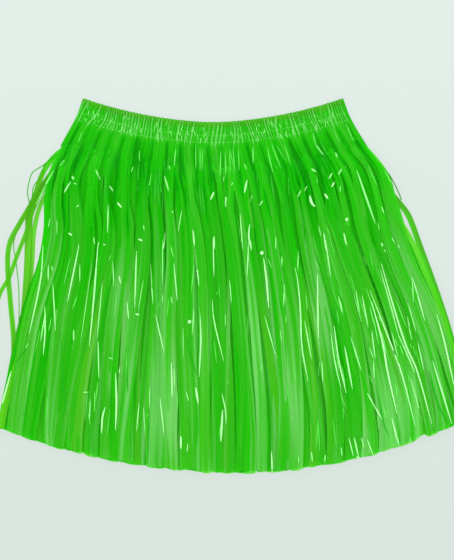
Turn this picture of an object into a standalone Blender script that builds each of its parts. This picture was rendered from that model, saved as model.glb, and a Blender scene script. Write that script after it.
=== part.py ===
"""A child's grass skirt of slit green plastic film, laid flat on a table with its waist away from the viewer.

The film is one tube. Its top is turned over an elastic, which gathers it into the waistband. Below the
lower row of stitches the gathered film hangs whole as a yoke, and below that it is slit into strips.
Front and back lie on each other, each with an outer and an inner layer of strips.

Metres. X runs across the skirt, Y up its length towards the waist, and Z up from the table.
"""

import math
import random

import bmesh
import bpy

# Sizes along the length, as depths below the two corners of the waist.
WAIST_SAG = 0.0276  # how far the middle of the waist lies below its corners
SAG_POWER = 1.7
ELASTIC_DEPTH = 0.0155  # from the top edge to the upper row of stitches
BAND_DEPTH = 0.0235  # from the top edge to the lower row of stitches
SLIT_DEPTH = 0.0550  # from the top edge to where the slits start
HEM_DEPTH = 0.4305  # from the corners of the waist to the lowest strips
HEM_RISE_LEFT = 0.049  # how much higher the hem lies at its left end than in the middle
HEM_RISE_RIGHT = 0.063

# The outline of the laid skirt: one row for each depth.
OUTLINE_COLUMNS = ("depth", "reach_left", "reach_right")
OUTLINE = (
    (0.000, 0.150, 0.150),
    (0.023, 0.159, 0.159),
    (0.055, 0.176, 0.178),
    (0.083, 0.188, 0.198),
    (0.120, 0.197, 0.214),
    (0.148, 0.201, 0.229),
    (0.190, 0.209, 0.246),
    (0.230, 0.218, 0.259),
    (0.276, 0.227, 0.273),
    (0.345, 0.236, 0.289),
    (0.385, 0.241, 0.296),
)

# Walls and seams.
SEAM_GAP = 0.0003
BACK_WALL = 0.0026  # the back's gathered film, flat underneath where it rests
FRONT_WALL = 0.0015  # the front's film in the troughs between gathers
GATHER_HEIGHT = 0.0016  # how far a gather stands out of the troughs
GATHERS = 88  # across the front
LEAST_GATHER = 0.55  # the lowest gather, as a share of the highest
BACK_COLUMNS = 25  # points along a plain, ungathered stretch
BAND_END = 0.985  # where the gathers stop and the side folds start, as a share of the reach
INNER_END = 0.980  # where the flat hollow inside the tube ends
ROOT_END = 0.990  # where the outermost strips start
SIDE_FOLD = (0.72, 0.30)  # heights of the rounded side folds' points, as shares of the tube's thickness

# Gathers run together into pleats on their way down, and the pleats fade out along the strips.
PLEATS = 22
PLEAT_HEIGHT = 0.0009
PLEAT_PULL = 0.0008  # how far the strips of the front's outer layer are drawn to the nearest pleat
PLEAT_WANDER = 0.9  # how unevenly the pleats are spaced
PLEAT_START = 0.05  # where along the strips they first draw together, clear of the roots
PLEAT_FULL = 0.25
PLEAT_END = 0.60  # where the last of a pleat is gone

# The waistband and the yoke at each depth below the top edge: how much of their full height the gathers
# and the pleats have there.
LEVEL_COLUMNS = ("drop", "gathers", "pleats")
WAISTBAND_LEVELS = (
    (0.0000, 0.55, 0.0),
    (0.0035, 1.00, 0.0),
    (ELASTIC_DEPTH, 0.25, 0.0),
    (0.0195, 0.85, 0.0),
    (BAND_DEPTH, 0.25, 0.0),
)
YOKE_LEVELS = (
    (BAND_DEPTH + SEAM_GAP, 0.30, 0.0),
    (0.0300, 1.00, 0.4),
    (0.0430, 0.85, 0.9),
    (SLIT_DEPTH - SEAM_GAP, 0.60, 0.7),
)

# Strips. Each is a thin ribbon that leans on its neighbour like a shingle.
BACKING_DEPTH = 0.004  # the uncut strip of film that joins the roots of one layer
BACKING_WALL = 0.00115
STRIP_WALL = 0.0007
ROOT_LAP = 0.88  # a strip's width at its root, as a share of the room it has there
STRIP_LAP = 1.20  # the same once it is clear of the roots
LAP_START = 0.03  # where along the strips the lap starts to grow
LAP_END = 0.33
ROOT_RISE = 0.0008  # how much higher one edge of a strip lies than the other, just below its root
STRIP_RISE = 0.0022  # the same where the layers have opened out
OPEN_END = 0.14  # where along the strips the layers have opened out
LAYER_GAP = 0.0003
LENGTH_CHANGE = 0.0030  # how unevenly the strips are cut
WIDTH_CHANGE = 0.06
SWAY = 0.0008  # how far the middle of a strip bends out of its line
TURN = 0.0005  # how far its quarters bend to opposite sides

# Layers from the table up: strips, which edge is the higher one (1 right, -1 left), share of the broad
# folds and of the pleats that it follows, and the waves by which its strips bunch together at the hem.
LAYER_COLUMNS = ("name", "strips", "high_edge", "fold_share", "pleat_share", "bunch_waves", "stations")
FINE = (0.0, 0.05, 0.14, 0.25, 0.40, 0.60, 0.80, 1.0)
PLAIN = (0.0, 0.05, 0.30, 0.64, 1.0)
LAYERS = (
    ("fringe_back_outer", 62, -1, 0.0, 0.0, 2.3, PLAIN),
    ("fringe_back_inner", 56, 1, 0.0, 0.0, 1.7, PLAIN),
    ("fringe_front_inner", 62, -1, 0.5, 0.0, 2.1, PLAIN),
    ("fringe_front_outer", 68, 1, 1.0, 1.0, 2.6, FINE),
)
BUNCHING = 0.0028  # how far bunched strips shift sideways at the hem
FOLD_HEIGHT = 0.0030  # of the soft ridges that run down from the yoke
FOLD_WAVES = 6.5  # ridges across the front, each side of which is a trough
FOLD_CREST = 0.30  # where along the strips the ridges stand highest
FOLD_FADE = 0.75  # how much of their height the ridges lose towards the hem
FOLD_WANDER = 0.9  # how unevenly the ridges are spaced

# Strips that stray from the pile at the sides and lie on the table. Each is the outermost strip of its
# layer on that side (-1 left). out is how far it lies outside the outline at each quarter of its length,
# and lie is the height at which it rests, because some of them cross.
STRAY_COLUMNS = ("layer", "side", "lie", "out_1", "out_2", "out_3", "out_4")
STRAYS = (
    ("fringe_front_outer", -1, 0.0030, 0.018, 0.037, 0.050, 0.056),
    ("fringe_front_inner", -1, 0.0015, 0.031, 0.034, 0.016, 0.006),
    ("fringe_back_inner", -1, 0.0000, 0.012, 0.017, 0.008, 0.004),
    ("fringe_front_outer", 1, 0.0030, 0.009, 0.000, 0.002, 0.001),
    ("fringe_front_inner", 1, 0.0015, 0.004, 0.012, 0.006, 0.002),
)
STRAY_RISE = 0.0005  # how much higher one edge of a stray lies than the other
PILE_EDGE = 0.014  # how far out a stray strip starts to sink from its layer to the table
SINK_WIDTH = 0.010  # and how much farther out it lies on the table
STRAY_STATIONS = (0.0, 0.05, 0.14, 0.25, 0.36, 0.48, 0.60, 0.73, 0.86, 1.0)

COLOURS = {
    "waistband": (0.03, 0.52, 0.02, 1.0),
    "yoke": (0.02, 0.47, 0.01, 1.0),
    "fringe_back_outer": (0.02, 0.40, 0.01, 1.0),
    "fringe_back_inner": (0.02, 0.42, 0.01, 1.0),
    "fringe_front_inner": (0.02, 0.46, 0.01, 1.0),
    "fringe_front_outer": (0.04, 0.52, 0.03, 1.0),
}
FILM_ROUGHNESS = 0.22


def clear_scene():
    for old in list(bpy.data.objects):
        bpy.data.objects.remove(old, do_unlink=True)


def through(value, places, heights):
    """The height at value on the smooth curve through the points (place, height)."""
    value = min(max(value, places[0]), places[-1])
    last = len(places) - 1
    k = max(i for i in range(last) if places[i] <= value)
    slopes = []
    for i in (k, k + 1):
        before, after = max(i - 1, 0), min(i + 1, last)
        slopes.append((heights[after] - heights[before]) / (places[after] - places[before]))
    span = places[k + 1] - places[k]
    share = (value - places[k]) / span
    rest = 1 - share
    blend = smooth(share)
    lean = slopes[0] * rest * rest * share - slopes[1] * share * share * rest
    return heights[k] * (1 - blend) + heights[k + 1] * blend + lean * span


def smooth(share):
    """0 to 1 with a soft start and end."""
    share = min(1.0, max(0.0, share))
    return share * share * (3 - 2 * share)


def outline_at(depth):
    """The middle of the laid skirt and half its width at a depth."""
    depths, left, right = zip(*OUTLINE)
    reach_left = through(depth, depths, left)
    reach_right = through(depth, depths, right)
    return (reach_right - reach_left) / 2, (reach_right + reach_left) / 2


def top_depth(across):
    """The depth of the waist's top edge. across runs from -1, the left corner, to 1."""
    return WAIST_SAG * (1 - abs(across) ** SAG_POWER)


def hem_depth(across):
    rise = HEM_RISE_RIGHT if across > 0 else HEM_RISE_LEFT
    return HEM_DEPTH - rise * abs(across) ** 2


def place(across, depth, z):
    """A point of the laid skirt."""
    middle, half = outline_at(depth)
    return middle + across * half, -depth, z


# The waistband and the yoke: two stretches of one flattened tube.


def gather_heights():
    """How high each gather stands, as a share of the full height. They are uneven, as crushed film is."""
    dice = random.Random(7)
    return [dice.uniform(LEAST_GATHER, 1.0) for _ in range(GATHERS)]


def evenly(columns, reach):
    """Places across the tube from -reach to reach."""
    return [reach * (2 * step / (columns - 1) - 1) for step in range(columns)]


def pleat_turn(across):
    """The angle that a pleat has run through at a place across the front: 0 is a crest, pi a valley."""
    return math.pi * PLEATS * across + PLEAT_WANDER * math.sin(PLEATS / 3 * across)


def outer_ring(level, heights):
    """Points round the outside of the tube at one level, the front first, from left to right."""
    front_floor = BACK_WALL + SEAM_GAP + FRONT_WALL
    drop = level["drop"]
    ring = []
    for step in range(2 * GATHERS + 1):
        across = BAND_END * (step / GATHERS - 1)
        crest = heights[step // 2] * level["gathers"] * GATHER_HEIGHT if step % 2 else 0.0
        pleat = level["pleats"] * PLEAT_HEIGHT * (0.5 + 0.5 * math.cos(pleat_turn(across)))
        ring.append((across, front_floor + crest + pleat))
    ring += [(1.0, front_floor * share) for share in SIDE_FOLD]
    ring += [(across, 0.0) for across in reversed(evenly(BACK_COLUMNS, BAND_END))]
    ring += [(-1.0, front_floor * share) for share in reversed(SIDE_FOLD)]
    return [place(across, top_depth(across) + drop, z) for across, z in ring]


def inner_ring(drop):
    """Points round the thin hollow of the tube, one under each trough, then back over the back wall."""
    ring = [(across, BACK_WALL + SEAM_GAP) for across in evenly(GATHERS + 1, INNER_END)]
    ring += [(across, BACK_WALL) for across in reversed(evenly(BACK_COLUMNS, INNER_END))]
    return [place(across, top_depth(across) + drop, z) for across, z in ring]


def ring_faces(mesh, upper, lower):
    count = len(upper)
    for k in range(count):
        after = (k + 1) % count
        mesh.faces.new((upper[k], lower[k], lower[after], upper[after]))


def zip_runs(mesh, outer, inner, flip):
    """Faces between two open runs of points, from their first points to their last."""
    o, i = 0, 0
    while o < len(outer) - 1 or i < len(inner) - 1:
        outer_next = (o + 1) * (len(inner) - 1) <= (i + 1) * (len(outer) - 1)
        if i == len(inner) - 1 or (outer_next and o < len(outer) - 1):
            corners = (outer[o], outer[o + 1], inner[i])
            o += 1
        else:
            corners = (outer[o], inner[i + 1], inner[i])
            i += 1
        mesh.faces.new(corners[::-1] if flip else corners)


def film_tube(name, levels):
    """A flattened tube with a gathered front, from the table of its levels."""
    heights = gather_heights()
    rows = [dict(zip(LEVEL_COLUMNS, level)) for level in levels]
    mesh = bmesh.new()
    outer = [[mesh.verts.new(point) for point in outer_ring(row, heights)] for row in rows]
    inner = [[mesh.verts.new(point) for point in inner_ring(row["drop"])] for row in (rows[0], rows[-1])]
    for upper, lower in zip(outer, outer[1:]):
        ring_faces(mesh, upper, lower)
    ring_faces(mesh, inner[1], inner[0])
    crests, troughs = 2 * GATHERS + 1, GATHERS + 1
    for outer_rim, inner_rim, flip in ((outer[0], inner[0], False), (outer[-1], inner[1], True)):
        zip_runs(mesh, outer_rim[:crests], inner_rim[:troughs], flip)
        outer_rest = outer_rim[crests - 1:] + outer_rim[:1]
        zip_runs(mesh, outer_rest, inner_rim[troughs - 1:] + inner_rim[:1], flip)
    return finished(name, mesh)


# The strips.


def fold_height(across, along):
    """The soft ridges of the front, at a share of the strips' length."""
    faded = FOLD_FADE * smooth((along - FOLD_CREST) / (1 - FOLD_CREST))
    rise = smooth(along / FOLD_CREST) * (1 - faded)
    wander = FOLD_WANDER * math.sin(FOLD_WAVES * across)
    wave = 0.5 + 0.5 * math.cos(math.pi * FOLD_WAVES * across + wander)
    return FOLD_HEIGHT * rise * wave


def pleat_share(along):
    """How much of the pleats is left at a share of the strips' length."""
    grown = smooth((along - PLEAT_START) / (PLEAT_FULL - PLEAT_START))
    return grown * (1 - smooth((along - PLEAT_FULL) / (PLEAT_END - PLEAT_FULL)))


def strip_shape(along):
    """A strip's lap, the rise of its high edge and its thickness, at a share of its length."""
    lap = ROOT_LAP + (STRIP_LAP - ROOT_LAP) * smooth((along - LAP_START) / (LAP_END - LAP_START))
    rise = ROOT_RISE + (STRIP_RISE - ROOT_RISE) * smooth(along / OPEN_END)
    return lap, rise, STRIP_WALL


def layer_base(index, along):
    """The height of a layer's underside. The layers open out below the thin yoke."""
    _, rise, wall = strip_shape(along)
    return index * (rise + wall + LAYER_GAP)


def stray_at(layer, number, along):
    """How far a strip strays sideways, and the height at which a stray rests. Most strips stay in line."""
    for row in STRAYS:
        stray = dict(zip(STRAY_COLUMNS, row))
        edge_number = 0 if stray["side"] < 0 else layer["strips"] - 1
        if stray["layer"] == layer["name"] and number == edge_number:
            outs = (0.0, stray["out_1"], stray["out_2"], stray["out_3"], stray["out_4"])
            quarters = (0.0, 0.25, 0.5, 0.75, 1.0)
            return stray["side"] * through(along, quarters, outs), stray["lie"]
    return 0.0, 0.0


def strip_habits(dice, count):
    """How each strip of a layer differs from the next one: its cut, its width and its bends."""
    return [
        {
            "cut": dice.uniform(-LENGTH_CHANGE, 0.0),
            "width": 1 + dice.uniform(-WIDTH_CHANGE, WIDTH_CHANGE),
            "sway": dice.uniform(-SWAY, SWAY),
            "turn": dice.uniform(-TURN, TURN),
        }
        for _ in range(count)
    ]


def spread(layer, number):
    """Where a strip or a slit of a layer lies, from -1 on the left to 1. The side folds take a little room."""
    return (2 * number / layer["strips"] - 1) * ROOT_END


def strip_section(index, layer, number, habit, along):
    """The four corners of a strip at a share of its length: underside left, right, then back on top."""
    across = spread(layer, number + 0.5)
    start = top_depth(across) + SLIT_DEPTH + BACKING_DEPTH
    depth = start + (hem_depth(across) + habit["cut"] - start) * along
    middle, half = outline_at(depth)
    lap, rise, wall = strip_shape(along)
    width = 2 * half / layer["strips"] * lap * habit["width"]
    out, lie = stray_at(layer, number, along)
    settled = smooth((abs(out) - PILE_EDGE) / SINK_WIDTH)
    x = middle + across * half + out
    x += BUNCHING * along * math.sin(math.pi * layer["bunch_waves"] * across + index)
    x += habit["sway"] * math.sin(math.pi * along) + habit["turn"] * math.sin(2 * math.pi * along)
    pleat = 0.0 if out else layer["pleat_share"] * pleat_share(along)
    x -= PLEAT_PULL * pleat * math.sin(pleat_turn(across))
    corners = []
    for edge in (-1, 1):
        edge_x = x + edge * width / 2
        edge_across = (edge_x - middle) / half
        lift = layer_base(index, along) + (rise if edge == layer["high_edge"] else 0.0)
        lift += layer["fold_share"] * fold_height(edge_across, along)
        lift += PLEAT_HEIGHT * pleat * (0.5 + 0.5 * math.cos(pleat_turn(edge_across)))
        rest = lie + (STRAY_RISE if edge == layer["high_edge"] else 0.0)
        corners.append((edge_x, -depth, lift + (rest - lift) * settled))
    left, right = corners
    above = [(px, py, pz + wall) for px, py, pz in (right, left)]
    return [left, right, *above]


def root_section(index, layer, boundary, drop):
    """The backing's underside and top at one of the slits."""
    across = spread(layer, boundary)
    depth = top_depth(across) + drop
    z = index * (BACKING_WALL + LAYER_GAP)
    return [place(across, depth, height) for height in (z, z + BACKING_WALL)]


def fringe(index, layer):
    """One layer of strips, cut from a narrow backing that stays whole."""
    dice = random.Random(100 + index)
    habits = strip_habits(dice, layer["strips"])
    mesh = bmesh.new()
    slits = []
    for boundary in range(layer["strips"] + 1):
        upper = root_section(index, layer, boundary, SLIT_DEPTH)
        lower = root_section(index, layer, boundary, SLIT_DEPTH + BACKING_DEPTH)
        slits.append([mesh.verts.new(point) for point in upper + lower])
    mesh.faces.new([slits[0][k] for k in (0, 2, 3, 1)])
    mesh.faces.new([slits[-1][k] for k in (1, 3, 2, 0)])
    for number, (left, right) in enumerate(zip(slits, slits[1:])):
        mesh.faces.new((left[0], left[1], right[1], right[0]))
        mesh.faces.new((left[1], left[3], right[3], right[1]))
        mesh.faces.new((left[2], left[0], right[0], right[2]))
        section = [left[2], right[2], right[3], left[3]]
        strays = any(stray_at(layer, number, 0.5))
        for along in (STRAY_STATIONS if strays else layer["stations"])[1:]:
            points = strip_section(index, layer, number, habits[number], along)
            lower = [mesh.verts.new(point) for point in points]
            ring_faces(mesh, section, lower)
            section = lower
        mesh.faces.new(section[::-1])
    return finished(layer["name"], mesh)


def plastic(name):
    material = bpy.data.materials.new(name + "_film")
    material.use_nodes = True
    shader = material.node_tree.nodes["Principled BSDF"]
    shader.inputs["Base Color"].default_value = COLOURS[name]
    shader.inputs["Roughness"].default_value = FILM_ROUGHNESS
    shader.inputs["Metallic"].default_value = 0.0
    material.diffuse_color = COLOURS[name]
    return material


def finished(name, mesh):
    """The object for a bmesh, with its faces turned outwards and its own film."""
    bmesh.ops.recalc_face_normals(mesh, faces=mesh.faces)
    data = bpy.data.meshes.new(name)
    mesh.to_mesh(data)
    mesh.free()
    data.materials.append(plastic(name))
    return bpy.data.objects.new(name, data)


def centre_on_table(parts):
    """Moves the whole skirt so that the middle of its box lies over the origin. It already stands at z 0."""
    for axis in (0, 1):
        places = [vertex.co[axis] for part in parts for vertex in part.data.vertices]
        middle = (min(places) + max(places)) / 2
        for part in parts:
            part.location[axis] -= middle


def build_skirt():
    clear_scene()
    skirt = bpy.data.collections.new("grass_skirt")
    bpy.context.scene.collection.children.link(skirt)
    parts = [film_tube("waistband", WAISTBAND_LEVELS), film_tube("yoke", YOKE_LEVELS)]
    for index, row in enumerate(LAYERS):
        parts.append(fringe(index, dict(zip(LAYER_COLUMNS, row))))
    centre_on_table(parts)
    for part in parts:
        skirt.objects.link(part)


build_skirt()
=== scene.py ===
# %% [markdown]
# A child's grass skirt of slit green plastic film, laid flat on a pale table with its waist away from us.
# This lesson dresses a plain solid model of the skirt, called the frame, with the film as the eye meets it: a
# gathered tube at the waist, and under it four layers of thin glossy strips. The frame says how large
# everything is. We only read it.

# %% Load the frame
import math
import random

import bpy
import numpy as np
from mathutils.bvhtree import BVHTree
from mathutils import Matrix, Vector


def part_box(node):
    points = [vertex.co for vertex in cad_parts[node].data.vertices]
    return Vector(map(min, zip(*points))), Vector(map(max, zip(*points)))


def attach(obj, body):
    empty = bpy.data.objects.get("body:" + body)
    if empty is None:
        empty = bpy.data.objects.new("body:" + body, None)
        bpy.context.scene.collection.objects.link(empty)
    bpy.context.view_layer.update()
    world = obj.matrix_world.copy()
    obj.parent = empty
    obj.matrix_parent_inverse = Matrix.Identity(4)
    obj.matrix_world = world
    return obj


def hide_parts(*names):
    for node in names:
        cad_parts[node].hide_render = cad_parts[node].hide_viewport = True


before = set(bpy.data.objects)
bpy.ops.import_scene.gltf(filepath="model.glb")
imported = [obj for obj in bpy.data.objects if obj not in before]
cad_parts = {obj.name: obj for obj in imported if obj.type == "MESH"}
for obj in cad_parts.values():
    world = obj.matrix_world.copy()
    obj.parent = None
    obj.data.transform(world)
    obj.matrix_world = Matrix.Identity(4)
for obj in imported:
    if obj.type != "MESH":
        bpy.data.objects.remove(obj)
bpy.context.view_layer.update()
MM = 0.001

# %% [markdown]
# The laid skirt has no straight edge, so its outline is a short table: how far it reaches to the left and
# right at each depth below the corners of the waist. A smooth curve runs through the rows. The frame
# gives the place of the whole, from the corners and the left end of its waistband.

# %% The outline of the laid skirt, in millimetres below the waist's corners
OUTLINE = np.array([
    # depth, reach left, reach right
    (0.0, 150.0, 150.0),
    (23.0, 159.0, 159.0),
    (55.0, 176.0, 178.0),
    (83.0, 188.0, 198.0),
    (120.0, 193.0, 210.0),
    (148.0, 192.5, 217.0),
    (190.0, 199.0, 232.0),
    (230.0, 212.0, 251.0),
    (276.0, 224.0, 269.0),
    (345.0, 236.0, 289.0),
    (385.0, 241.0, 296.0),
]) * MM
WAIST_SAG = 27.6 * MM
SAG_POWER = 1.7
ELASTIC_DEPTH = 15.5 * MM  # the upper row of stitches
BAND_DEPTH = 23.5 * MM  # the lower row
SLIT_DEPTH = 55.0 * MM  # where the film is slit into strips
HEM_DEPTH = 430.5 * MM
HEM_RISE_LEFT = 49.0 * MM
HEM_RISE_RIGHT = 63.0 * MM

band_low, band_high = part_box("waistband")
WAIST_Y = band_high.y
MIDDLE_X = band_low.x + 0.159


def ease(share):
    share = np.clip(share, 0.0, 1.0)
    return share * share * (3 - 2 * share)


def through(x, places, heights):
    """The smooth curve through a table's points, at x."""
    x = np.clip(x, places[0], places[-1])
    slopes = np.gradient(heights, places)
    slopes[1:-1] = (heights[2:] - heights[:-2]) / (places[2:] - places[:-2])
    k = np.clip(np.searchsorted(places, x, side="right") - 1, 0, len(places) - 2)
    span = places[k + 1] - places[k]
    share = (x - places[k]) / span
    blend = ease(share)
    lean = slopes[k] * (1 - share) ** 2 * share - slopes[k + 1] * share**2 * (1 - share)
    return heights[k] * (1 - blend) + heights[k + 1] * blend + lean * span


def outline_at(depth):
    left = through(depth, OUTLINE[:, 0], OUTLINE[:, 1])
    right = through(depth, OUTLINE[:, 0], OUTLINE[:, 2])
    return (right - left) / 2, (right + left) / 2


def top_depth(across):
    return WAIST_SAG * (1 - np.abs(across) ** SAG_POWER)


def hem_depth(across):
    rise = np.where(across > 0, HEM_RISE_RIGHT, HEM_RISE_LEFT)
    return HEM_DEPTH - rise * across**2


def on_table(across, depth):
    """Where a place of the laid skirt lies on the table."""
    middle, half = outline_at(depth)
    return MIDDLE_X + middle + across * half, WAIST_Y - depth


def across_at(x, y):
    """The other way round: how far across the skirt, and how deep, a place of the table lies."""
    depth = WAIST_Y - y.astype(float)
    middle, half = outline_at(depth)
    return np.clip((x - MIDDLE_X - middle) / half, -1, 1), depth


print("skirt", round(2 * outline_at(HEM_DEPTH)[1], 3), "m wide at the hem, waist at y", round(WAIST_Y, 3))

# %% [markdown]
# Film that is gathered on an elastic stands up in narrow ridges, about as many as the photographed waist
# shows: 88 across the front. They differ in height, they drift a little on their way down, each row of
# stitches pinches them, and below the band they die out one by one and leave wider pleats. A cloth
# simulation would need millimetre folds over half a metre, so the ridges come from a rule instead: a
# triangle wave along the waist with its own height, drift and length for each ridge.

# %% The heights of gathers and pleats
GATHERS = 88
FRONT_FLOOR = 3.9 * MM  # the film of the front between two ridges
GATHER_HEIGHT = 2.1 * MM
PLEATS = 22
PLEAT_HEIGHT = 1.9 * MM
PLEAT_WANDER = 0.9

# How high the ridges stand at each depth below the top edge.
PINCH = np.array([(0.0, 0.75), (3.0, 1.0), (12.5, 0.95), (15.5, 0.45), (18.5, 0.95), (21.0, 0.9),
                  (23.5, 0.42), (27.0, 0.95), (55.0, 1.0)])
chance = np.random.default_rng(11)
ridge_height = chance.uniform(0.55, 1.0, GATHERS + 2)
ridge_end = chance.uniform(24.0, 36.0, GATHERS + 2) * MM
ridge_end[34:50:2] = 60 * MM  # a few sharp folds run down to the slits left of the middle
drift_waves = chance.uniform(0, 2 * math.pi, (6, 3))
DRIFT = 0.40  # how unevenly the ridges are spaced


def ridge_at(across, drop):
    """How near the top of its ridge a place is, from 0 to 1, and the ridge's number from the left."""
    place = (across + 1) / 2 * GATHERS
    for k, (start, turn, lean) in enumerate(drift_waves):
        downwards = drop / MM * 0.09 * math.sin(turn)
        place = place + DRIFT * np.sin((k + 2) * 3.1 * across + start + downwards + lean)
    number = np.clip(np.floor(place).astype(int), 0, GATHERS + 1)
    return 1 - np.abs(2 * (place % 1) - 1), number


def pinch_at(drop):
    return through(drop / MM, PINCH[:, 0], PINCH[:, 1])


pleat_height = chance.uniform(0.35, 1.5, 2 * PLEATS)
pleat_end = chance.uniform(0.25, 0.85, 2 * PLEATS)  # where along the strips each pleat has gone
pleat_groove_shade = np.random.default_rng(3).uniform(0.35, 1.0, 2 * PLEATS)  # how dark the painted shade in the groove beside it is


def pleat_turn(across):
    return math.pi * PLEATS * across + PLEAT_WANDER * np.sin(PLEATS / 3 * across)


def pleat_number(across):
    return np.round(pleat_turn(across) / (2 * math.pi)).astype(int) + PLEATS


def pleat_rise(across):
    """The height of the pleats, 0 in their valleys."""
    wave = 0.5 + 0.5 * np.cos(pleat_turn(across))
    return PLEAT_HEIGHT * wave * pleat_height[pleat_number(across)]


def front_height(across, drop):
    """The front's film above the table, at a place across and a depth below the top edge."""
    ridge, number = ridge_at(across, drop)
    gone = ease((drop - ridge_end[number] * 0.6) / (ridge_end[number] * 0.5))
    gone = np.where(drop < BAND_DEPTH, 0.0, gone)
    ridges = ridge * ridge_height[number] * pinch_at(drop) * (1 - 0.85 * gone)
    grown = ease((drop - BAND_DEPTH) / (SLIT_DEPTH - BAND_DEPTH))
    return FRONT_FLOOR + GATHER_HEIGHT * ridges + grown * pleat_rise(across)


# Where the film sinks between two pleats, in mm: each valley's middle, half length and half width. There the
# film is also painted darker, as painted shade.
VALLEYS = (
    (-153, 114, 25, 3.4), (-118, 98, 40, 2.8), (-88, 122, 34, 3.2), (-45, 110, 26, 3.2), (-101, 71, 20, 2.4),
    (-176, 92, 34, 2.6), (-13, 102, 18, 2.4), (94, 122, 24, 5.0), (124, 111, 38, 4.4), (136, 82, 16, 3.2),
    (158, 62, 14, 2.8), (60, 96, 24, 2.6), (24, 88, 20, 2.2), (-140, 70, 22, 2.6), (178, 60, 22, 2.6),
)


def tube_tone_and_painted_light(across, drop):
    """How pale the film of the tube is, from 0 to 1, with painted light: paler on the ridges as a painted
    highlight, darker in the valleys as painted shade.
    """
    ridge, number = ridge_at(across, drop)
    in_band = 1 - ease((drop - 20 * MM) / (12 * MM))
    # Painted highlight on the crests of the gathers and painted shade between them; paler pleat tops as
    # painted highlight, and painted shade in the pleats' grooves and in the valleys.
    crest = np.maximum(ridge - 0.3, 0) * 3.3 * (ridge_height[number] - 0.52)
    lines = in_band * (crest - 0.22 * (1 - ridge) ** 2)
    wave = 0.5 + 0.5 * np.cos(pleat_turn(across))
    groove = (1 - wave) ** 8 * pleat_groove_shade[np.floor(pleat_turn(across) / (2 * math.pi)).astype(int)]
    pleat = (0.2 * (pleat_rise(across) / PLEAT_HEIGHT - 0.5) - 0.36 * groove) * (1 - in_band)
    x, y = on_table(across, top_depth(across) + drop)
    sunk = 0
    for left, high, long, wide in VALLEYS:
        near = np.exp(-(((x / MM - left) / (2.2 * wide)) ** 2))
        sunk = sunk + near * ease((high + long + 30 - y / MM) / 30)
    deeper = 0.08 * ease((drop - 28 * MM) / (27 * MM))
    return 0.35 + 0.05 * in_band + lines + pleat - deeper - 0.3 * np.minimum(sunk, 1) * (1 - in_band)


band_wide, yoke_wide = (2 * outline_at(depth)[1] for depth in (ELASTIC_DEPTH, SLIT_DEPTH))
print("mm from ridge to ridge", round(band_wide / GATHERS / MM, 2))
print("mm from pleat to pleat", round(yoke_wide / PLEATS / MM, 1))

# %% [markdown]
# The colours are written as the hex values that a paint program shows. Blender calculates with linear
# light, so one function turns them. One more small function adds a node to any tree, sets it and feeds
# its sockets, which keeps the materials and the Geometry Nodes trees readable. The functions after it do
# what several cells need: sums in a tree, a material, a colour ramp and an object.

# %% Colour and node helpers


def linear(hex_colour):
    parts = [int(hex_colour[k:k + 2], 16) / 255 for k in (1, 3, 5)]
    return [c / 12.92 if c <= 0.04045 else ((c + 0.055) / 1.055) ** 2.4 for c in parts] + [1.0]


def node(tree, kind, feeds=None, **settings):
    """Adds a node with its settings. feeds says what its sockets hold, or which node or socket feeds them."""
    made = tree.nodes.new(kind)
    for name, value in settings.items():
        setattr(made, name, value)
    for key, value in (feeds or {}).items():
        if isinstance(value, bpy.types.Node):
            value = value.outputs[0]
        if isinstance(value, bpy.types.NodeSocket):
            tree.links.new(value, made.inputs[key])
        else:
            made.inputs[key].default_value = value
    return made


def maths_in(tree):
    """Sums in a tree, which would be long to write as nodes each time."""
    def maths(operation, *values):
        return node(tree, "ShaderNodeMath", dict(enumerate(values)), operation=operation)
    return maths


def new_material(name):
    material = bpy.data.materials.new(name)
    material.use_nodes = True
    material.node_tree.nodes.clear()
    return material, material.node_tree


def colour_ramp(tree, share, colours):
    """A ramp of hex colours, each at its place. The first lies at 0 and the last at 1."""
    ramp = node(tree, "ShaderNodeValToRGB", {"Fac": share})
    steps = ramp.color_ramp.elements
    steps[0].color, steps[1].color = linear(colours[0][1]), linear(colours[-1][1])
    for place, colour in colours[1:-1]:
        steps.new(place).color = linear(colour)
    return ramp


def new_object(name, data):
    made = bpy.data.objects.new(name, data)
    bpy.context.scene.collection.objects.link(made)
    return made


# %% [markdown]
# The film is blown polyethylene, dyed through and slit: glossy, a tenth of a millimetre thick, and clear
# enough that one layer over a pale table turns yellow-green while five layers look deep green. So the surface
# is a glossy plastic shader, part of the light is scattered through it, and part passes straight through with
# the dye's tint. Each point of the mesh says how pale, how clear and how yellow the film is there. The
# paleness also carries painted light: painted sheen and painted highlight make it paler, painted shade in
# grooves, valleys and openings makes it darker, and the colour ramp runs from the deep pile in painted shade
# to a painted sheen. Blowing the film leaves faint lines along it, which we draw a millimetre apart, because
# the real ones are too fine for a picture of the whole skirt.

# %% The film
LINE_PITCH = 1.3 * MM
LINE_LENGTH = 60 * MM
LINE_CONTRAST = 0.26
BAND_SCALE = 0.35  # broad bands, a few lines wide
BAND_CONTRAST = 0.7
NOISE_MEAN = 0.40  # what the lines and bands add, more or less, on average
# The ramp's darkest colours stand for the deep pile in painted shade, and its palest for a painted sheen.
DYE_SHADE_AND_SHEEN = ((0, "#049E00"), (0.10, "#05B200"), (0.38, "#24CB06"), (0.68, "#48CC28"), (1, "#8AE27A"))
THIN_LAYER = "#8CCB30"  # one layer over the pale table


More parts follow.
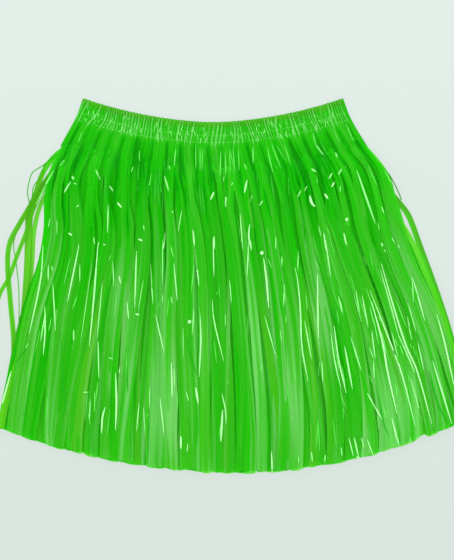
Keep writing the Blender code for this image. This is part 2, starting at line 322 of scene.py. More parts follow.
def film(name, rough=0.26, glow_share=0.33):
    material, tree = new_material(name)
    maths = maths_in(tree)
    said = {key: node(tree, "ShaderNodeAttribute", attribute_name=key).outputs["Fac"]
            for key in ("across", "below", "strip", "width", "tone_and_light", "clear", "yellow")}
    lines_x = maths("DIVIDE", maths("MULTIPLY", said["across"], said["width"]), LINE_PITCH)
    lines_y = maths("DIVIDE", said["below"], LINE_LENGTH)
    lines_at = node(tree, "ShaderNodeCombineXYZ", {0: lines_x, 1: lines_y, 2: said["strip"]})
    lines = node(tree, "ShaderNodeTexNoise", {"Vector": lines_at, "Scale": 1.0, "Detail": 2.0})
    bands = node(tree, "ShaderNodeTexNoise", {"Vector": lines_at, "Scale": BAND_SCALE, "Detail": 0.0})
    mixed = maths("MULTIPLY_ADD", lines, LINE_CONTRAST, said["tone_and_light"])
    mixed = maths("MULTIPLY_ADD", bands, BAND_CONTRAST, mixed)
    dye_and_light = colour_ramp(tree, maths("SUBTRACT", mixed, NOISE_MEAN), DYE_SHADE_AND_SHEEN)
    film_colour = node(tree, "ShaderNodeMix", {0: said["yellow"], 6: dye_and_light, 7: linear(THIN_LAYER)}, data_type="RGBA")
    film_colour = film_colour.outputs[2]
    bump = node(tree, "ShaderNodeBump", {"Height": lines, "Strength": 0.15, "Distance": 0.1 * MM})
    plastic = node(tree, "ShaderNodeBsdfPrincipled", {
        "Base Color": film_colour, "Roughness": rough, "IOR": 1.5, "Specular IOR Level": 0.15,
        "Specular Tint": (0.6, 1.0, 0.5, 1.0), "Normal": bump})
    glow = node(tree, "ShaderNodeBsdfTranslucent", {"Color": film_colour})
    through_film = node(tree, "ShaderNodeBsdfTransparent", {"Color": (0.36, 0.92, 0.15, 1.0)})
    body = node(tree, "ShaderNodeMixShader", {0: glow_share, 1: plastic, 2: glow})
    whole = node(tree, "ShaderNodeMixShader", {0: said["clear"], 1: body, 2: through_film})
    node(tree, "ShaderNodeOutputMaterial", {"Surface": whole})
    return material


slit_film = film("polyethylene_film_dyed_green_slit")
band_film = film("polyethylene_film_dyed_green_gathered", rough=0.3, glow_share=0.5)

# %% [markdown]
# The waistband and the yoke are one tube of film that stays whole. We lay a fine grid round the tube, one
# row for each millimetre or so down from the waist, and let the heights above lift it. At the top the
# film is turned inwards over the elastic, and the back lies on the table with its ridges upwards.

# %% The gathered tube
FRONT_POINTS = 8 * GATHERS
BACK_POINTS = 5 * GATHERS
SIDE_POINTS = 8
BAND_END = 0.985  # the side of the tube begins here, as a share of half the skirt's width
BACK_HEIGHT = 2.0 * MM
BACK_SHIFT = 10 * MM  # so that the back's ridges drift in another way than the front's
TABLE_GAP = 0.2 * MM
TURNED = ((6.0, 2.2), (3.0, 2.0), (0.8, 1.2), (0.1, 0.4))  # mm deep and mm inside, of the film turned in
ROWS = 46
TUBE_ROUND = 1.12  # metres of film round the tube before it was gathered
TUBE_CLEAR = 0.18
SCALLOP = 0.9 * MM  # how far a ridge stands above the waist's edge
EDGE_TONE = 0.28  # the folded upper edge looks dark and a little olive
EDGE_YELLOW = 0.35


def grid_object(name, points, closed, material):
    """A mesh from a grid of points, rows by columns, closed round the columns or not."""
    rows, columns = points.shape[:2]
    last = columns if closed else columns - 1
    faces = []
    for r in range(rows - 1):
        for c in range(last):
            here, after = r * columns + c, r * columns + (c + 1) % columns
            faces.append((here, here + columns, after + columns, after))
    mesh = bpy.data.meshes.new(name)
    mesh.from_pydata(points.reshape(-1, 3).tolist(), [], faces)
    mesh.shade_smooth()
    mesh.materials.append(material)
    return new_object(name, mesh)


def name_attribute(mesh, name, values):
    attribute = mesh.attributes.new(name, "FLOAT", "POINT")
    attribute.data.foreach_set("value", np.asarray(values, np.float32).ravel())


def tube_row(drop, inside):
    """Points round the tube at one depth, the front first from left to right."""
    front = np.linspace(-BAND_END, BAND_END, FRONT_POINTS)
    turn = np.linspace(0, math.pi, SIDE_POINTS + 2)[1:-1]
    back = np.linspace(BAND_END, -BAND_END, BACK_POINTS)
    side = BAND_END + (1 - BAND_END) * np.sin(turn)
    across = np.concatenate([front, side, back, -side])
    front_z = front_height(front, drop) - inside
    groove, _ = ridge_at(-back, drop + BACK_SHIFT)
    back_z = TABLE_GAP + BACK_HEIGHT * (1 - groove) * pinch_at(drop) + inside * 0.5
    right = front_z[-1] + (back_z[0] - front_z[-1]) * (1 - np.cos(turn)) / 2
    left = back_z[-1] + (front_z[0] - back_z[-1]) * (1 - np.cos(turn)) / 2
    z = np.concatenate([front_z, right, back_z, left])
    ridge, number = ridge_at(across, drop)
    scallop = SCALLOP * ridge * ridge_height[number] * (1 - ease(drop / (6 * MM)))
    x, y = on_table(across, top_depth(across) + drop - scallop)
    return np.stack([x, y, z], axis=1)


turned_rows = [tube_row(deep * MM, inside * MM) for deep, inside in TURNED]
drops = np.linspace(0, SLIT_DEPTH, ROWS)
film_rows = [tube_row(drop, 0.0) for drop in drops]
tube_points = np.array(turned_rows + film_rows)
tube = grid_object("gathered_tube", tube_points, True, band_film)
around = tube_points.shape[1]
row_drops = np.concatenate([[-deep * MM for deep, _ in TURNED], drops])
share = np.concatenate([
    np.linspace(-BAND_END, BAND_END, FRONT_POINTS), np.full(SIDE_POINTS, 0.99),
    np.linspace(BAND_END, -BAND_END, BACK_POINTS), np.full(SIDE_POINTS, -0.99)])
# The tube's colours carry painted light: paler ridges as painted highlight, darker grooves and valleys as
# painted shade.
tones_and_light = np.array([tube_tone_and_painted_light(share, max(drop, 0)) for drop in row_drops])
tones_and_light[:len(TURNED) + 1] = EDGE_TONE
for key, values in {
    "below": np.repeat(row_drops, around),
    "across": np.tile(np.linspace(0, 1, around), len(row_drops)),
    "width": np.full(tones_and_light.size, TUBE_ROUND),
    "tone_and_light": tones_and_light,
    "clear": np.full(tones_and_light.size, TUBE_CLEAR),
    "yellow": np.repeat(EDGE_YELLOW * (1 - ease(row_drops / (9 * MM))), around),
}.items():
    name_attribute(tube.data, key, values)
print("tube", len(tube.data.polygons) * 2, "triangles")

# %% [markdown]
# Each strip starts as a line down its middle. The lines are worked out here: they fan out from the slits to
# the hem, bend a little, no two alike, and lie in four layers, the lowest on the table. Where the yoke sinks
# between two pleats the strips part, and leave a narrow opening, dark from real shade and from painted shade.
# Along each line we store how wide the strip is, how far it is rolled to one side, how it is folded
# lengthwise, how pale its film is with painted sheen and painted shade included, how clear and how yellow its
# film is, how far below its root the point lies, and which strip it is.

# %% The middle lines of the strips
LAYERS = (
    # name, strips, points along, bunch waves, paleness at the root and at the hem; the lower layers are
    # darker as painted shade, and the film grows paler towards the hem as painted sheen
    ("fringe_back_outer", 62, 26, 2.3, (0.20, 0.30)),
    ("fringe_back_inner", 56, 26, 1.7, (0.20, 0.35)),
    ("fringe_front_inner", 62, 50, 2.1, (0.26, 0.50)),
    ("fringe_front_outer", 68, 96, 2.6, (0.36, 0.57)),
)
ROOT_END = 0.990  # how far out the strips' upper ends stand
LAYER_STEP = 3.2 * MM  # from layer to layer in the pile
ROOT_STEP = 1.0 * MM  # and at the slits
OPEN_END = 0.14  # where along the strips the pile has its full height
LEVEL_REACH = 0.6 * MM  # how far a strip lies above its neighbours
HEM_SPARE = 4 * MM  # the strips are made this much too long, and cut along the hem later
OUTER_LAP, INNER_LAP = 0.66, 0.75  # how much wider than its place a strip is, so that it laps over the next
NARROW_STRIPS = 0.16  # the share of strips that are narrow
ASTRAY_STRIPS = 0.25  # the share that leave their row
LEAN = 12  # mm to either side at the hem
BUNCH = 3.2 * MM  # how far the strips draw together in bunches
BEND = 5.5 * MM  # how far a strip wanders on its way down
FOLD_RISE = 1.7 * MM  # broad swells across the front
FOLD_COUNT = 6.5  # and how many of them
SHEENS_AND_SHADES = (
    # place in mm, reach across and along in mm, how much paler the film is painted there as painted sheen,
    # or, below zero, darker as painted shade
    (212, -140, 32, 70, 0.42), (-88, -150, 9, 60, 0.22), (-58, -155, 13, 70, 0.26), (-108, -20, 9, 40, 0.14),
    (-32, -120, 8, 70, 0.14), (46, -100, 9, 90, 0.16), (86, -130, 8, 60, 0.16), (128, -10, 12, 60, 0.16),
    (12, -40, 7, 60, 0.14), (-190, -110, 16, 50, -0.06), (142, -120, 9, 50, -0.18), (-125, -150, 8, 40, -0.2),
    (104, -90, 8, 60, -0.12), (-10, -150, 8, 50, -0.12), (-165, 60, 14, 50, -0.06), (200, -40, 10, 60, 0.14),
)


leaf_dice = np.random.default_rng(8)
LEAVES = 34
leaf_across = leaf_dice.uniform(-0.93, 0.93, LEAVES)
leaf_depth = leaf_dice.uniform(75, 210, LEAVES) * MM
leaf_long = leaf_dice.uniform(8, 24, LEAVES) * MM
leaf_wide = leaf_dice.uniform(0.8, 1.8, LEAVES) * MM
leaf_dark = leaf_dice.uniform(0.3, 1.0, LEAVES)


def leaf_shade(across, depth):
    """How much of the light the dark leaf-shaped openings between the strips take away, from 0 to 1."""
    shade = 0
    for x, y, long, wide in VALLEYS:
        middle, half = outline_at(WAIST_Y - y * MM)
        side = (across - (x * MM - MIDDLE_X - middle) / half) * half / (1.3 * wide * MM)
        shade = shade + np.exp(-side**2) * np.maximum(0, 1 - ((depth - WAIST_Y + y * MM) / (long * MM)) ** 2)
    for at, down, long, wide, dark in zip(leaf_across, leaf_depth, leaf_long, leaf_wide, leaf_dark):
        side = (across - at) * outline_at(down)[1] / wide
        shade = shade + dark * np.exp(-side**2) * np.maximum(0, 1 - ((depth - down) / long) ** 2)
    return np.minimum(shade, 1)


def fold_height(across, along):
    faded = 0.75 * ease((along - 0.30) / 0.70)
    rise = ease(along / 0.30) * (1 - faded)
    wave = 0.5 + 0.5 * np.cos(math.pi * FOLD_COUNT * across + 0.9 * np.sin(FOLD_COUNT * across))
    return FOLD_RISE * rise * wave


def pleat_share(across, along):
    gone = pleat_end[pleat_number(across)]
    return 1 - ease(along / gone)


def wander(dice, along, reach, waves=3):
    """A smooth wandering value between -reach and reach."""
    total = 0
    for k in range(1, waves + 1):
        size, pitch, start = dice.uniform(-1, 1) / k, dice.uniform(0.7, 1.3), dice.uniform(0, 6.28)
        total = total + size * np.sin(math.pi * k * along * pitch + start)
    return reach * total


PARTING = 0.9  # how far a strip in the middle of a valley moves aside, as a share of the valley's half width


def parted(x, y):
    """Moves a strip's points out of the valleys between the pleats."""
    for left, high, long, wide in VALLEYS:
        apart = x - left * MM
        open_here = np.maximum(0, 1 - ((y / MM - high) / long) ** 2) ** 1.5
        middle = apart[np.argmax(open_here)]
        side = 1.0 if middle >= 0 else -1.0
        push = PARTING * wide * MM * np.exp(-abs(middle) / (6 * MM))
        x = x + side * push * open_here
    return x


# A strip's paleness: the layer's, paler towards the hem as painted sheen, the strip's own random tone, and
# painted sheen and painted shade at the listed places.
def paleness_and_sheen(x, y, layer, along, own_tone_and_sheen):
    root, hem = layer[4]
    tone_and_light = root + (hem - root) * ease(along * 1.7) + own_tone_and_sheen
    for left, high, reach_x, reach_y, gain in SHEENS_AND_SHADES:
        tone_and_light = tone_and_light + gain * np.exp(-(((x / MM - left) / reach_x) ** 2) - ((y / MM - high) / reach_y) ** 2)
    return tone_and_light


def strip_line(index, layer, number, dice):
    """A strip's middle line, and what each of its points says of the strip."""
    strips, count = layer[1], layer[2]
    across = (2 * (number + 0.5) / strips - 1) * ROOT_END
    start = top_depth(across) + SLIT_DEPTH - (dice.uniform(0.5, 9.0) if index == 3 else 0.5) * MM
    end = hem_depth(across) + HEM_SPARE
    along = np.linspace(0, 1, count)
    depth = start + (end - start) * along
    middle, half = outline_at(depth)
    lap = 1.02 + (OUTER_LAP if index == 3 else INNER_LAP) * ease((along - 0.03) / 0.25)
    narrow = dice.random() < NARROW_STRIPS
    free = ease(along / 0.15) * min(1.0, (1 - abs(across)) / 0.07)
    width = 2 * half / strips * lap * (1 + (dice.uniform(-0.15, 0.35) - 0.35 * narrow) * ease(along / 0.15))
    width = width * (1 - 0.4 * np.clip(wander(dice, along, 1.0), 0, 1) * free)  # where it is turned a little
    x = MIDDLE_X + middle + across * half
    x = x + free * BUNCH * along * np.sin(math.pi * layer[3] * across + index)
    astray = dice.random() < ASTRAY_STRIPS
    lean = dice.uniform(-LEAN, LEAN) + astray * dice.choice((-1, 1)) * dice.uniform(8, 20)
    x = x + free * (lean * MM * along**1.3 + wander(dice, along, BEND, 2))
    level = (dice.random() + 0.7 * astray) * LEVEL_REACH
    z = index * (ROOT_STEP + (LAYER_STEP - ROOT_STEP) * ease(along / OPEN_END)) + 0.6 * MM
    z = z + level * ease(along / 0.10)
    if index == 3:
        share = pleat_share(across, along)
        z = z + fold_height(across, along) + pleat_rise(across) * share
        towards = np.sin(pleat_turn(across)) * pleat_height[pleat_number(across)]
        x = x - 1.5 * MM * share * towards * ease(along / 0.06)
        x = x + (parted(x, WAIST_Y - depth) - x) * ease(along / 0.1)
    if index == 2:
        z = z + 0.5 * fold_height(across, along)
    loose = 6 + 10 * (1 - ease(along / 0.5))
    roll = np.radians(wander(dice, along, 1.0, 2) * loose) * ease(along / 0.08)
    # Its paleness takes in painted sheen and painted shade as well as its own random tone.
    own_tone_and_sheen = paleness_and_sheen(x, WAIST_Y - depth, layer, along, dice.uniform(-0.13, 0.17) + wander(dice, along, 0.07))
    tone_and_light = own_tone_and_sheen + (0.12 * (1 - ease(along / 0.12)) if index < 3 else 0)
    clear = TUBE_CLEAR + (0.16 + 0.2 * dice.random() ** 2) * ease(along / 0.15)
    facts = {
        "width": width, "roll": roll, "tone_and_light": tone_and_light,
        "clear": clear * min(1, 0.3 + 0.35 * index),  # the lower layers let less light through
        "yellow": (0.20 * narrow + 0.10 * dice.random() ** 2) * ease((along - 0.3) / 0.3),
        "crease": np.clip(dice.uniform(-0.25, 0.25) + wander(dice, along, 0.22), -0.36, 0.36),
        "fold": wander(dice, along, 0.18) * ease(along / 0.08),
    }
    return np.stack([x, WAIST_Y - depth, z], axis=1), facts


# %% [markdown]
# A few strips stray from the pile: at the left some lie on the table by themselves, two of them seen on
# edge as thin dark loops, and at the right one bows outwards. Nobody can guess those from a rule, so their
# routes are short lists of places, in millimetres on the table, and a smooth curve runs through each list.

# %% The strips that stray
STRAYS = (
    # layer, width mm, roll degrees, resting height mm, paleness, clearness, yellowness, x and y by turns
    ("fringe_front_outer", 6.0, 6, 3.2, -0.04, 0.08, 0.28, (
        -166, 160, -182, 151, -198, 130, -210, 97, -225, 71, -236, 50, -239, 27, -236, -17, -232, -63,
        -233, -93, -240, -128, -249, -164)),
    ("fringe_front_outer", 4.8, -8, 4.6, -0.02, 0.1, 0.3, (
        -164, 158, -177, 144, -187, 131, -208, 90, -217, 62, -229, 31, -237, 9, -248, -11, -257, -46,
        -263, -77)),
    ("fringe_back_inner", 8.6, 4, 1.2, -0.04, 0.12, 0.34, (
        -162, 157, -181, 137, -201, 109, -213, 86, -215, 56, -216, 23, -219, -23, -224, -69, -230, -121,
        -236, -167)),
    ("fringe_back_inner", 5.2, -5, 0.7, 0.15, 0.3, 0.38, (
        -160, 155, -177, 134, -192, 110, -203, 88, -209, 60, -211, 27, -215, -17, -219, -75, -224, -132,
        -226, -171)),
    ("fringe_front_inner", 1.5, 30, 3.0, -0.25, 0.1, 0.1, (
        -168, 158, -178, 153, -187, 148, -197, 139, -210, 130, -214, 120, -216, 106, -213, 92)),
    ("fringe_front_inner", 1.6, 30, 2.8, -0.15, 0.2, 0.2, (
        -170, 155, -183, 148, -197, 138, -198, 128, -209, 114, -211, 100, -222, 75, -232, 50, -229, 25,
        -226, -8, -226, -60)),
    ("fringe_front_inner", 1.5, 30, 3.2, -0.25, 0.1, 0.1, (
        160, 166, 176, 152, 187, 143, 199, 130, 207, 117, 213, 104, 215, 98)),
    ("fringe_front_outer", 6.8, -8, 3.0, -0.06, 0.05, 0.2, (
        158, 170, 182, 140, 201, 109, 221, 84, 228, 69, 234, 52, 244, 25, 258, -14, 273, -63, 282, -110,
        288, -160)),
    ("fringe_front_outer", 6.2, 4, 10.5, 0.5, 0.2, 0.25, (
        184, 122, 198, 98, 211, 76, 223, 56, 235, 32, 240, 18, 254, -14, 267, -52, 276, -90, 283, -140)),
    ("fringe_front_outer", 7.5, -4, 10.0, 0.2, 0.16, 0.4, (
        -188, 20, -202, -20, -216, -58, -229, -95, -240, -135, -247, -168)),
)
STRAY_POINTS = 90


def smooth_route(route, points):
    """Points along a smooth curve through the places of a route, and how far along each of them lies."""
    route = np.reshape(route, (-1, 2)) * MM
    run = np.concatenate([[0], np.cumsum(np.linalg.norm(np.diff(route, axis=0), axis=1))])
    at = np.linspace(0, run[-1], points)
    return through(at, run, route[:, 0]), through(at, run, route[:, 1]), at


def stray_line(stray, index):
    """The middle line of a stray strip. It leaves its layer's height and settles on the table."""
    _, width, roll, rest, tone_and_light, clear, yellow, route = stray
    x, y, at = smooth_route(route, STRAY_POINTS)
    down = ease(at / (60 * MM))
    z = (index * ROOT_STEP + 0.5 * MM) * (1 - down) + rest * MM * down
    turned = np.radians(roll) * ease(at / (40 * MM))
    out = ease((at - 10 * MM) / (50 * MM))  # by itself on the table
    facts = {"width": width * MM, "roll": turned, "crease": 0.0, "fold": 0.0, "tone_and_light": tone_and_light + 0.25 * (1 - out),
             "clear": TUBE_CLEAR + (clear - TUBE_CLEAR) * out, "yellow": yellow * out}
    return np.stack([x, y, z], axis=1), facts


def guide_object(name, lines):
    """One mesh of plain edges for all lines, with what each point says of its strip."""
    points, edges, facts, first = [], [], {}, 0
    for number, (line, said) in enumerate(lines):
        points.append(line)
        edges += [(first + k, first + k + 1) for k in range(len(line) - 1)]
        first += len(line)
        steps = np.linalg.norm(np.diff(line, axis=0), axis=1)
        said = {**said, "below": np.concatenate([[0], np.cumsum(steps)]), "strip": number}
        for key, value in said.items():
            facts.setdefault(key, []).append(np.broadcast_to(value, len(line)))
    mesh = bpy.data.meshes.new(name)
    mesh.from_pydata(np.concatenate(points).tolist(), edges, [])
    for key, values in facts.items():
        name_attribute(mesh, key, np.concatenate(values))
    return new_object(name, mesh)


# %% [markdown]
# A Geometry Nodes tree turns the lines into film. It sweeps a flat profile along each line, as wide and as
# rolled as the line says. One crease runs down each strip, from side to side, and the film is folded there
# a little upwards or downwards: the profile's middle point follows the crease, so the fold stays sharp.
# Soft ripples come from noise that is measured in millimetres along and across the strip.

# %% The tree that makes strips
STRIP_SIZES = {
    "Ripple Depth": 0.6 * MM, "Ripple Width": 5.0 * MM, "Ripple Length": 55.0 * MM,
    "Seed": 0.0, "Film": slit_film}
STRIP_SHIFT = 7.31  # from one strip's ripples to the next one's, in the noise
STEPS = 8  # steps across a strip; the crease lies on the middle one


def said_in(tree, *keys):
    """What the points of a mesh say, by name."""
    kind = "GeometryNodeInputNamedAttribute"
    return {key: node(tree, kind, {"Name": key}, data_type="FLOAT") for key in keys}


def new_tree(name, sizes):
    """A Geometry Nodes tree with an input for lines and one for each size."""
    tree = bpy.data.node_groups.new(name, "GeometryNodeTree")
    tree.interface.new_socket("Lines", in_out="INPUT", socket_type="NodeSocketGeometry")
    for title, value in sizes.items():
        kind = "NodeSocketFloat" if isinstance(value, float) else "NodeSocketMaterial"
        tree.interface.new_socket(title, in_out="INPUT", socket_type=kind)
    tree.interface.new_socket("Made", in_out="OUTPUT", socket_type="NodeSocketGeometry")
    return tree, node(tree, "NodeGroupInput").outputs


def ended(tree, geometry, material):
    """Ends a tree: smooth faces, real meshes in place of instances, and their material."""
    smooth = {"Geometry": geometry, "Shade Smooth": True}
    soft = node(tree, "GeometryNodeSetShadeSmooth", smooth, domain="FACE")
    real = node(tree, "GeometryNodeRealizeInstances", {"Geometry": soft})
    dressed = node(tree, "GeometryNodeSetMaterial", {"Geometry": real, "Material": material})
    node(tree, "NodeGroupOutput", {"Made": dressed})
    return tree


def stored(tree, geometry, name, value, kind="FLOAT"):
    """Lets each point say a value under a name."""
    feeds = {"Geometry": geometry, "Name": name, "Value": value}
    return node(tree, "GeometryNodeStoreNamedAttribute", feeds, data_type=kind, domain="POINT")


def swept(tree, lines, tilt, width, steps):
    """Sweeps a flat profile along lines. Stores the direction across them, and each point's share across."""
    curves = node(tree, "GeometryNodeMeshToCurve", {"Mesh": lines})
    level = node(tree, "GeometryNodeSetCurveNormal", {"Curve": curves}, mode="Z_UP")
    rolled = node(tree, "GeometryNodeSetCurveTilt", {"Curve": level, "Tilt": tilt})
    rolled = stored(tree, rolled, "sideways", node(tree, "GeometryNodeInputNormal"), "FLOAT_VECTOR")
    flat = node(tree, "GeometryNodeCurvePrimitiveLine", {"Start": (-0.5, 0, 0), "End": (0.5, 0, 0)})
    flat = node(tree, "GeometryNodeResampleCurve", {"Curve": flat, "Count": steps + 1})
    flat = stored(tree, flat, "across", node(tree, "GeometryNodeSplineParameter").outputs["Factor"])
    return node(tree, "GeometryNodeCurveToMesh", {"Curve": rolled, "Profile Curve": flat, "Scale": width})


def strip_tree():
    tree, given = new_tree("strips_of_film", STRIP_SIZES)
    maths = maths_in(tree)
    said = said_in(tree, "width", "roll", "below", "strip", "across", "crease", "fold")
    ribbons = swept(tree, given["Lines"], said["roll"], said["width"], STEPS)

    # Where across the strip each point really lies, so that the profile's middle follows the crease.
    half = maths("MULTIPLY", said["width"], 0.5)
    crease = maths("MULTIPLY", said["crease"], said["width"])
    to_left, to_right = maths("ADD", crease, half), maths("SUBTRACT", half, crease)
    left = node(tree, "ShaderNodeMapRange", {"Value": said["across"], "From Max": 0.5, "To Max": to_left})
    right = node(tree, "ShaderNodeMapRange", {"Value": said["across"], "From Min": 0.5, "To Max": to_right})
    side = maths("SUBTRACT", maths("ADD", left, right), half)
    shift = maths("SUBTRACT", side, maths("MULTIPLY", maths("SUBTRACT", said["across"], 0.5), said["width"]))

    # How far each point lies above the flat ribbon: the fold and soft ripples.
    from_crease = maths("ABSOLUTE", maths("SUBTRACT", side, crease))
    lift = maths("MULTIPLY", said["fold"], maths("SUBTRACT", maths("MULTIPLY", half, 0.5), from_crease))
    which = maths("MULTIPLY_ADD", said["strip"], STRIP_SHIFT, given["Seed"])
    wide = maths("ADD", maths("DIVIDE", side, given["Ripple Width"]), which)
    long = maths("DIVIDE", said["below"], given["Ripple Length"])
    at = node(tree, "ShaderNodeCombineXYZ", {0: wide, 1: long, 2: which})
    ripple = node(tree, "ShaderNodeTexNoise", {"Vector": at, "Scale": 1.0, "Detail": 1.0})
    lift = maths("ADD", lift, maths("MULTIPLY", maths("SUBTRACT", ripple, 0.5), given["Ripple Depth"]))

    facing = node(tree, "GeometryNodeInputNormal")
    up = node(tree, "ShaderNodeVectorMath", {"Vector": facing, "Scale": lift}, operation="SCALE")
    beside = node(tree, "GeometryNodeInputNamedAttribute", {"Name": "sideways"}, data_type="FLOAT_VECTOR")
    out = node(tree, "ShaderNodeVectorMath", {"Vector": beside, "Scale": shift}, operation="SCALE")
    both = node(tree, "ShaderNodeVectorMath", {0: up, 1: out}, operation="ADD")
    moved = node(tree, "GeometryNodeSetPosition", {"Geometry": ribbons, "Offset": both})
    on_fold = maths("COMPARE", said["across"], 0.5, 0.01)
    sharp = node(tree, "GeometryNodeSetShadeSmooth", {
        "Geometry": moved, "Selection": on_fold, "Shade Smooth": False}, domain="EDGE")
    placed = stored(tree, sharp, "across", maths("ADD", maths("DIVIDE", side, said["width"]), 0.5))
    return ended(tree, placed, given["Film"])


def grown(guide, tree, sizes):
    """Runs a tree on a guide object, and leaves the plain mesh that it makes in the object's place."""
    modifier = guide.modifiers.new("grow", "NODES")
    modifier.node_group = tree
    for item in tree.interface.items_tree:
        if item.item_type == "SOCKET" and item.in_out == "INPUT" and item.name in sizes:
            modifier[item.identifier] = sizes[item.name]
    evaluated = guide.evaluated_get(bpy.context.evaluated_depsgraph_get())
    mesh = bpy.data.meshes.new_from_object(evaluated)
    guide.modifiers.clear()
    name = guide.name
    bpy.data.objects.remove(guide)
    mesh.name = name
    return new_object(name, mesh)


strips_of_film = strip_tree()

# %% [markdown]
# Now the four layers are made, from the table upwards. The upper ends of the front strips take the height of
# the yoke, and its colours with their painted light and shade, because slits leave no seam in a film, and no
# film may dip into the table. Painted shade darkens the leaf-shaped openings between the front strips.

# %% The four layers
LOWEST = 0.15 * MM
SEAM_GAP = 0.08 * MM  # between the yoke and the strips that continue it
ROOT_FIT = 26 * MM  # how far down a strip keeps the folds of the yoke
TONE_FIT = 70 * MM  # and how far its colours, with their painted light and shade
LEAF_SHADE_STRENGTH = 0.20  # painted shade: how much darker the film is painted where it dips between its neighbours
ROOT_PALER = 0.03  # makes up for the light that the layers below a strip take away
HEM_UNEVEN = 1.0 * MM
HEM_ROUND = 1.3 * MM  # how much shorter a strip is at its edges


def numbers_of(items, key, each=1):
    """A value of every item of a mesh, in one array."""
    values = np.empty(len(items) * each, np.float32)
    items.foreach_get(key, values)
    return values


def facing_up(piece):
    """Turns ribbons over if most of them face down."""
    if numbers_of(piece.data.polygons, "normal", 3)[2::3].mean() < 0:
        piece.data.flip_normals()


def settle(piece, fit_roots):
    """Keeps the film above the table, and lets the upper ends continue the folds of the yoke and its painted
    light and shade. Paints shade into the dark leaf-shaped openings as well.
    """
    mesh = piece.data
    below, strip, side, tone_and_light = (numbers_of(mesh.attributes[key].data, "value")
                                for key in ("below", "strip", "across", "tone_and_light"))
    place = numbers_of(mesh.vertices, "co", 3).reshape(-1, 3)
    across, depth = across_at(place[:, 0], place[:, 1])
    if fit_roots:
        drop = np.maximum(depth - top_depth(across), 0)
        seam = front_height(across, drop) + SEAM_GAP
        free = ease(below / ROOT_FIT)
        inside = np.abs(across) < BAND_END
        place[:, 2] = np.where(inside, seam + (place[:, 2] - seam) * free, place[:, 2])
        yoke = tube_tone_and_painted_light(across, np.minimum(drop, SLIT_DEPTH)) + ROOT_PALER
        tone_and_light = yoke + (tone_and_light - yoke) * ease(below / TONE_FIT) - LEAF_SHADE_STRENGTH * leaf_shade(across, depth)
        mesh.attributes["tone_and_light"].data.foreach_set("value", tone_and_light.astype(np.float32))
    uneven = HEM_UNEVEN * (np.sin(2.4 * strip) + np.sin(7.1 * strip)) + HEM_ROUND * (2 * side - 1) ** 2
    place[:, 1] = np.maximum(place[:, 1], WAIST_Y - hem_depth(across) + uneven)
    place[:, 2] = np.maximum(place[:, 2], LOWEST)
    mesh.vertices.foreach_set("co", place.ravel())
    mesh.update()


pieces = []
for index, layer in enumerate(LAYERS):
    name, strips = layer[:2]
    dice = random.Random(40 + index)
    lines = [strip_line(index, layer, number, dice) for number in range(strips)]
    lines += [stray_line(stray, index) for stray in STRAYS if stray[0] == name]
    guide = guide_object(name + "_strips", lines)
    piece = grown(guide, strips_of_film, {**STRIP_SIZES, "Seed": 13.7 * index})
    facing_up(piece)
    settle(piece, fit_roots=name == "fringe_front_outer")
    pieces.append(piece)
    print(piece.name, len(piece.data.polygons) * 2, "triangles")
